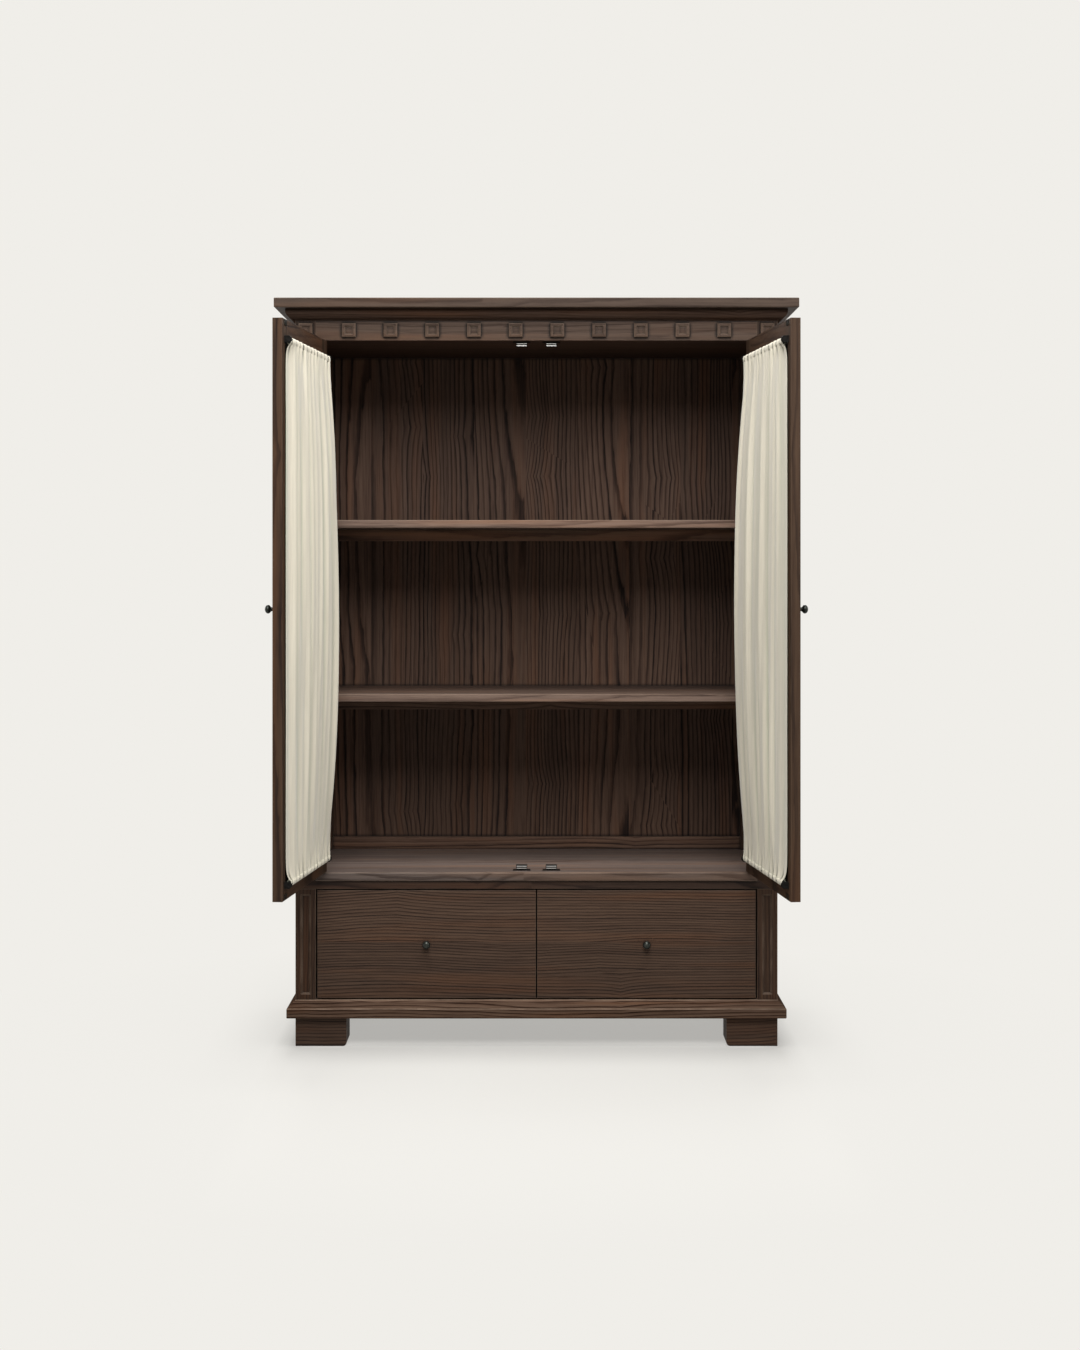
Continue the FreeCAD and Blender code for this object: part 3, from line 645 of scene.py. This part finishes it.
# The top board's underside lies in shade, and its darker tone is painted shade.
dress(["top_board"],
      stained_wood("ceiling_wood", "X", "Y", tone=(0.47, 0.43, 0.43), wear_and_highlight=0.1, figure=0.2, corners=0.2))
# The waist board lies under the nosing, and its darker tone is painted shade.
dress(["waist_board"], stained_wood("waist_wood", "X", "Y", tone=(0.41, 0.39, 0.39)))
dress(["cupboard_floor"],
      stained_wood("floor_wood", "X", "Y", tone=(1.75, 2.25, 2.9), wear_and_highlight=0.4, figure=0.7, front=0.62))
dress(["lower_shelf", "upper_shelf"],
      stained_wood("shelf_wood", "X", "Y", tone=(1.05, 1.2, 1.4), wear_and_highlight=0.7, figure=0.7, front=1.7))
dress(both("drawer_box", "drawer_bottom"),
      stained_wood("box_wood", "Y", "Z", board=0.25, tone=(1.9, 1.9, 1.9)))
print("wood on rails, shelves, drawers and feet")

# %% [markdown]
# The cornice and the plinth are mouldings with mitred corners, so their grain turns the corner with
# them. Their curves slant everywhere, and the wear and painted highlight on slanting faces would
# whiten them, so it is off. The plinth gets painted highlight lines on its two ridges instead.

# %% Mitred mouldings
plinth_ridges = (0.1035, 0.1245)
dress(["cornice_moulding"],
      stained_wood("cornice_wood", "X", "Z", tone=(0.78, 0.82, 0.9), wear_and_highlight=0.0, figure=0.4, corners=0.4,
                   mitred=True))
dress(["plinth_rails"],
      stained_wood("plinth_wood", "X", "Z", tone=(1.1, 1.15, 1.2), wear_and_highlight=0.0, ridges=plinth_ridges,
                   mitred=True))
print("wood on the mouldings")

# %% [markdown]
# The knobs and rods are dark iron, the brackets and catches dull black, and the catches' pole plates
# bright steel. The hinges are dull steel. All are rough to the eye in patches, so noise drives their
# roughness and a slight colour change. A metal with one even roughness looks like plastic.


# %% Iron and steel
def worked_metal(name, first, second, metallic, smooth, scale, shine=0.5):
    finish, tree, plain = new_finish(name)
    cloud = spots(tree, place_parts(tree), scale, 4.0)
    put(tree, plain.inputs["Base Color"], graded(tree, cloud, (0.35, first), (0.7, second)))
    plain.inputs["Metallic"].default_value = metallic
    plain.inputs["Specular IOR Level"].default_value = shine
    put(tree, plain.inputs["Roughness"], maths(tree, "MULTIPLY_ADD", cloud, 0.22, smooth))
    raise_relief(tree, plain, cloud, strength=0.2, distance=0.0002)
    return finish


dark_iron = worked_metal("dark_iron", (0.016, 0.018, 0.016), (0.045, 0.048, 0.042), 0.85, 0.22, 260.0)
black_iron = worked_metal("black_iron", (0.006, 0.0055, 0.005), (0.013, 0.012, 0.011), 0.0, 0.6, 260.0,
                          shine=0.04)
plate_steel = worked_metal("plate_steel", (0.42, 0.41, 0.4), (0.55, 0.54, 0.52), 0.9, 0.25, 190.0)
dull_steel = worked_metal("dull_steel", (0.05, 0.045, 0.04), (0.11, 0.1, 0.088), 0.9, 0.4, 190.0)
print("four metals")

# %% [markdown]
# The panes are of grey glass. It bends and mirrors light, but glass alone would cast a
# black shadow on the curtain behind it, so shadow rays pass through a plain grey filter instead. The
# grey keeps the cream cloth from turning white when the doors are shut and it faces the front lamp.

# %% Window glass
glass_grey = (0.82, 0.82, 0.80, 1.0)
shadow_grey = (0.58, 0.58, 0.57, 1.0)


def window_glass():
    finish, tree, plain = new_finish("window_glass")
    plain.inputs["Base Color"].default_value = glass_grey
    plain.inputs["Roughness"].default_value = 0.02
    plain.inputs["IOR"].default_value = 1.46
    plain.inputs["Transmission Weight"].default_value = 1.0
    clear = new_node(tree, "BsdfTransparent")
    clear.inputs["Color"].default_value = shadow_grey
    shadow = new_node(tree, "LightPath").outputs["Is Shadow Ray"]
    swap_shaders(tree, shadow, plain, clear, "Material Output")
    return finish


dress(both("door_glass"), window_glass())
dress(both("curtain_rods", "door_strikes"), dark_iron)
dress(both("rod_brackets") + ["catch_bodies"], black_iron)
dress(both("door_hinge_leaves") + ["case_hinge_leaves", "hinge_pins"], dull_steel)
dress(["catch_pole_plates"], plate_steel)
print("glass and fittings finished")

# %% [markdown]
# The curtains are one length of cream cloth each, threaded on a rod at the top and on another at
# the foot. The pocket round each rod gathers the cloth, so tight pleats start at the stitch line
# and open into wide soft folds. The cloth is slack near the hinge and swells out there. Cloth
# simulation could find such folds, but it lands differently with each change of size, so a grid of
# cloth is laid along the path round both rods and its points are moved out by pleats and folds.
# A door helper first turns places on a door (from the hinge, off the inner face, up) into places
# in the room.

# %% Places on an open door
open_turn = -math.radians(frame["joints"][0]["range_deg"][0])
door_face = 0.0295
hinges = {joint["child"]: Vector(joint["pos_m"]) for joint in frame["joints"] if joint["type"] == "hinge"}


def on_door(side, along, off, height):
    hinge = hinges[side + "_door"]
    mirror = 1 if side == "left" else -1
    out = door_face + off
    x = math.cos(open_turn) * along + math.sin(open_turn) * out
    y = -math.sin(open_turn) * along + math.cos(open_turn) * out
    return Vector((hinge.x + mirror * x, hinge.y + y, height))


rod_low, rod_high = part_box("left_curtain_rods")
rod_radius = 0.0035
rod_off = 0.0095
top_rod = rod_high.z - rod_radius
foot_rod = rod_low.z + rod_radius
print("rods at", round(foot_rod, 4), round(top_rod, 4))

# %% [markdown]
# The path of the cloth starts behind the top rod, goes over it, is pinched by the stitches below,
# falls to the other rod, and ends behind that one. Each row of the path has a place off the door, a
# height, the strength of the tight pleats there, and its distance from the nearer stitch line. The
# rows lie closer together near the rods, where the cloth turns most.

# %% Path of the cloth
pocket = [  # off the rod, above the rod, strength of the pleats
    (-0.0022, -0.0130, 0.1), (-0.0040, -0.0065, 0.1), (-0.0047, 0.0, 0.1), (-0.0034, 0.0036, 0.15),
    (0.0, 0.0052, 0.25), (0.0032, 0.0038, 0.4), (0.0046, 0.0, 0.5), (0.0042, -0.0050, 0.9),
    (0.0030, -0.0090, 1.3),
]
stitch_drop = 0.0090
fall_steps = 72
fall_off = 0.0025
fall_puff = 1.3


def cloth_path():
    path = [(rod_off + off, top_rod + rise, puff, 0.0) for off, rise, puff in pocket]
    upper = top_rod - stitch_drop
    lower = foot_rod + stitch_drop
    for step in range(1, fall_steps):
        down = 0.5 - 0.5 * math.cos(math.pi * step / fall_steps)
        end = min(down, 1 - down) * (upper - lower)
        path.append((rod_off + fall_off, upper + (lower - upper) * down, fall_puff, end))
    path += [(rod_off + off, foot_rod - rise, puff, 0.0) for off, rise, puff in reversed(pocket)]
    return path


hang = cloth_path()
row_lengths = [0.0]
for before, after in zip(hang, hang[1:]):
    row_lengths.append(row_lengths[-1] + math.hypot(after[0] - before[0], after[1] - before[1]))

# %% [markdown]
# Across the cloth, tight pleats follow a wave with pointed valleys, and fade a few centimetres from
# the stitches. The folds between follow three waves of different widths that drift a little on the
# way down, so that no fold is quite straight. Smooth noise bends their spacing. The swell is
# strongest beside the hinge, and at the free edge the hem is drawn flat to the door.

# %% Pleats and folds
pleat_count = 11
crimp_count = 25
wide_folds = 4.4
narrow_folds = 7.3
thin_folds = 12.4
hem_start = 0.86
hem_width = 0.11


def pleat(share, seed):
    bent = share + 0.02 * noise.noise((share * 7.0, seed, 0.0))
    main = 1.7 * abs(math.sin(math.pi * pleat_count * bent + seed)) - 1.2
    stray = 1.3 * noise.noise((share * 5.0, seed, 4.0))
    return main + 0.3 * math.sin(2 * math.pi * crimp_count * bent + stray)


def gather(share, end, puff, seed):
    reach = 0.035 + 0.04 * max(0.0, noise.noise((share * 14.0, seed, 2.0)) + 0.3)
    return puff * math.exp(-end / reach) + 0.05


def fold(share, fall, seed):
    drift = 0.03 * noise.noise((share * 2.0, fall * 1.2, seed)) + 0.006 * math.sin(3 * fall + seed)
    wide = math.sin(2 * math.pi * wide_folds * (share + drift) + seed)
    narrow = math.sin(2 * math.pi * narrow_folds * (share - drift) + 2.3 * seed)
    thin = math.sin(2 * math.pi * thin_folds * (share + 2 * drift) + 0.7 * seed)
    loose = 0.85 + 0.5 * noise.noise((share * 3.0, fall * 2.0, seed + 7.0))
    return (0.55 * wide + 0.52 * narrow + 0.24 * thin) * loose


def swell(share):
    return 0.5 + 0.5 * math.cos(math.pi * share)


def hem(share):
    near = min(1.0, max(0.0, (share - hem_start) / hem_width))
    return near * near * (3 - 2 * near)


print(pleat_count, "pleats on a rod")

# %% [markdown]
# All of this meets in one function, which finds the place of one point of the cloth: along the door,
# off it, and up. Each depth is a real one, in metres. The function also says how deep the point lies
# in a pit between two pleats or in the valley of a fold, because the finish shades those later.

# %% Points of the cloth
cloth_start = 0.0385
cloth_end = 0.5525
cloth_width = cloth_end - cloth_start
pleat_depth = 0.0045
fold_depth = 0.0078
swell_depth = 0.025
swell_spread = 0.75
fold_reach = 0.1  # the length from the stitches over which the folds grow
hem_reach = 0.012  # the same for the hem
pit_reach = 0.02  # the length over which the pits fade
hem_off = 0.0028
least_off = 0.0016
pocket_pucker = 0.0022
edge_stray = 0.004
hem_pull = 0.006


def cloth_point(share, row, seed):
    off, height, puff, end = hang[row]
    fall = (top_rod - height) / (top_rod - foot_rod)
    free = 1 - math.exp(-end / fold_reach)
    slack = math.sin(math.pi * min(1.0, max(0.0, fall))) ** swell_spread * free
    tight = gather(share, end, puff, seed) * pleat(share, seed)
    ripple = free * fold(share, fall, seed)
    off += pleat_depth * tight + fold_depth * ripple + swell_depth * slack * swell(share)
    drawn = (1 - math.exp(-end / hem_reach)) * hem(share)
    off += drawn * (hem_off - off)
    off = max(off, least_off)
    if end == 0.0:
        height += pocket_pucker * tight
    stray = edge_stray * free * noise.noise((fall * 5.0, seed, share * 2.0)) + hem_pull * drawn
    along = cloth_start + cloth_width * share + stray
    pit = max(0.0, -tight) * math.exp(-end / pit_reach)
    valley = max(0.0, -ripple)
    return (along, off, height), pit, valley


print("cloth", round(cloth_width, 4), "m wide on the rods")

# %% [markdown]
# The cloth starts as a flat grid with as many rows as the path. Its points then move to their places
# on the door. Before they do, their flat places are kept as a map for the threads, closer across
# than along. The grid lies mirrored on the left door, so its faces are turned round there.

# %% Lay the cloth
columns = 260
thread_crowding = 1.3


def lay_cloth(side, seed):
    shape = bmesh.new()
    threads = shape.loops.layers.uv.new("threads")
    pits = shape.verts.layers.float.new("pits")
    valleys = shape.verts.layers.float.new("valleys")
    last_row = len(hang) - 1
    bmesh.ops.create_grid(shape, x_segments=columns, y_segments=last_row, size=0.5)
    flat = {}
    for point in shape.verts:
        share = point.co.x + 0.5
        row = round((0.5 - point.co.y) * last_row)
        flat[point] = (share * cloth_width * thread_crowding, row_lengths[row])
        place, pit, valley = cloth_point(share, row, seed)
        point[pits] = pit
        point[valleys] = valley
        point.co = on_door(side, *place)
    for face in shape.faces:
        for loop in face.loops:
            loop[threads].uv = flat[loop.vert]
    if side == "left":
        bmesh.ops.reverse_faces(shape, faces=shape.faces)
    return shape


print(columns, "columns of cloth")

# %% [markdown]
# Each cloth becomes an object that stands for the plain curtain of the construction and rides on its
# door. A Solidify modifier gives it the thickness of the cloth. The area of the folded cloth is summed
# too, but nothing uses it.

# %% Hang the curtains
cloth_thickness = 0.0009


def hang_curtain(side, seed):
    shape = lay_cloth(side, seed)
    area = sum(face.calc_area() for face in shape.faces)
    cloth = set_out(side + "_gathered_curtain", shape)
    cloth.data.shade_smooth()
    thick = cloth.modifiers.new("thickness", "SOLIDIFY")
    thick.thickness = cloth_thickness
    thick.offset = 0.0
    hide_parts(side + "_curtain")
    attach(cloth, side + "_door")
    return cloth


curtains = [hang_curtain("left", 1.7), hang_curtain("right", 5.2)]

# %% [markdown]
# The cloth is a plain cream weave, matt, with a soft sheen where it turns away. Its threads follow
# the cloth's own map, which keeps them straight in every fold. Folds of pale cloth are shallow and
# light bounces between them, so lamps alone show them weakly. The valleys and the creases are shaded
# a little, and the pits between the pleats are shaded most, from what the cloth's points remember.

# %% Cream cloth
cream_low = (0.56, 0.518, 0.42)
cream_high = (0.635, 0.588, 0.482)
crease_shade = (0.66, 0.72, 0.66)
valley_shade = (0.80, 0.855, 0.815)
plain_white = (1.0, 1.0, 1.0)
pit_colour = (0.16, 0.15, 0.115, 1.0)
threads_per_metre = 900
crease_reach = 0.02


def shaded_cream(tree, slub):
    colour = graded(tree, slub, (0.3, cream_low), (0.7, cream_high))
    crease = new_node(tree, "AmbientOcclusion", samples=6)
    crease.inputs["Distance"].default_value = crease_reach
    shade = graded(tree, crease.outputs["AO"], (0.4, crease_shade), (0.95, plain_white))
    colour = blended(tree, 1.0, colour, shade, "MULTIPLY")
    valleys = new_node(tree, "Attribute", attribute_name="valleys").outputs["Fac"]
    shade = graded(tree, valleys, (0.05, plain_white), (0.75, valley_shade))
    colour = blended(tree, 1.0, colour, shade, "MULTIPLY")
    pits = new_node(tree, "Attribute", attribute_name="pits").outputs["Fac"]
    return blended(tree, graded(tree, pits, (0.05, 0.0), (0.5, 0.8)), colour, pit_colour)


def cream_cloth():
    finish, tree, plain = new_finish("cream_cloth")
    across, down = place_parts(tree, "UV")[:2]
    warp = maths(tree, "SINE", scaled(tree, across, 2 * math.pi * threads_per_metre))
    weft = maths(tree, "SINE", scaled(tree, down, 2 * math.pi * threads_per_metre))
    slub = spots(tree, (scaled(tree, across, 160.0), scaled(tree, down, 6.0), 0.0), 1.0, 3.0)
    put(tree, plain.inputs["Base Color"], shaded_cream(tree, slub))
    plain.inputs["Roughness"].default_value = 0.82
    plain.inputs["Specular IOR Level"].default_value = 0.2
    plain.inputs["Sheen Weight"].default_value = 0.25
    plain.inputs["Sheen Roughness"].default_value = 0.4
    weave = maths(tree, "ADD", maths(tree, "MULTIPLY", warp, weft), slub)
    raise_relief(tree, plain, weave, strength=0.15, distance=0.0002)
    return finish


cream = cream_cloth()
for curtain in curtains:
    curtain.data.materials.append(cream)
print("curtains in", cream.name)

# %% [markdown]
# A knob is turned on a lathe, so its outline is spun round its own axis: a foot against the wood, a
# waist, and a domed head. The spin leaves a seam, which is merged, and the normals are set outwards
# afterwards. A stack of cylinders would come close, but its rims would stay hard.

# %% Turned knobs
knob_outline = [  # radius, distance from the wood
    (0.0, 0.0), (0.0074, 0.0), (0.0074, 0.0014), (0.0052, 0.0034), (0.0045, 0.0072),
    (0.0056, 0.0104), (0.0090, 0.0126), (0.0107, 0.0152), (0.0109, 0.0180), (0.0096, 0.0212),
    (0.0066, 0.0236), (0.0032, 0.0247), (0.0, 0.0250),
]
knob_length = knob_outline[-1][1]
seam_gap = 0.00001


def knob_heading(node):
    if "drawer" in node:
        return Vector((0, -1, 0))
    mirror = 1 if node.startswith("left") else -1
    return Vector((-mirror * math.sin(open_turn), -math.cos(open_turn), 0))


def turned_shape(foot, outward):
    shape = bmesh.new()
    outline = [shape.verts.new((radius, 0.0, reach)) for radius, reach in knob_outline]
    edges = [shape.edges.new(pair) for pair in zip(outline, outline[1:])]
    bmesh.ops.spin(shape, geom=outline + edges, cent=(0, 0, 0), axis=(0, 0, 1), angle=2 * math.pi, steps=40,
                   use_merge=True)
    bmesh.ops.remove_doubles(shape, verts=shape.verts, dist=seam_gap)
    bmesh.ops.recalc_face_normals(shape, faces=shape.faces)
    aim = Vector((0, 0, 1)).rotation_difference(outward).to_matrix().to_4x4()
    bmesh.ops.transform(shape, matrix=Matrix.Translation(foot) @ aim, verts=shape.verts)
    return shape


print(len(knob_outline), "points in the outline of a knob")

# %% [markdown]
# Each knob takes the place of the plainer one in the construction: its foot starts at the same spot
# and it points the same way, out of the door or the drawer. A subdivision modifier rounds the
# outline, which is easier than an outline with four times the points.


# %% Set the knobs
def turn_knob(name, node, body):
    low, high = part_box(node)
    centre = (low + high) / 2
    outward = knob_heading(node)
    knob = set_out(name, turned_shape(centre - outward * (knob_length / 2), outward))
    knob.data.shade_smooth()
    knob.data.materials.append(dark_iron)
    smooth = knob.modifiers.new("smooth", "SUBSURF")
    smooth.levels = 2
    smooth.render_levels = 2
    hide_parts(node)
    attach(knob, body)
    print(name, "at", [round(part, 3) for part in centre])


for side in ("left", "right"):
    turn_knob(side + "_door_turned_knob", side + "_door_knob", side + "_door")
    turn_knob(side + "_drawer_turned_knob", side + "_drawer_knob", side + "_drawer")
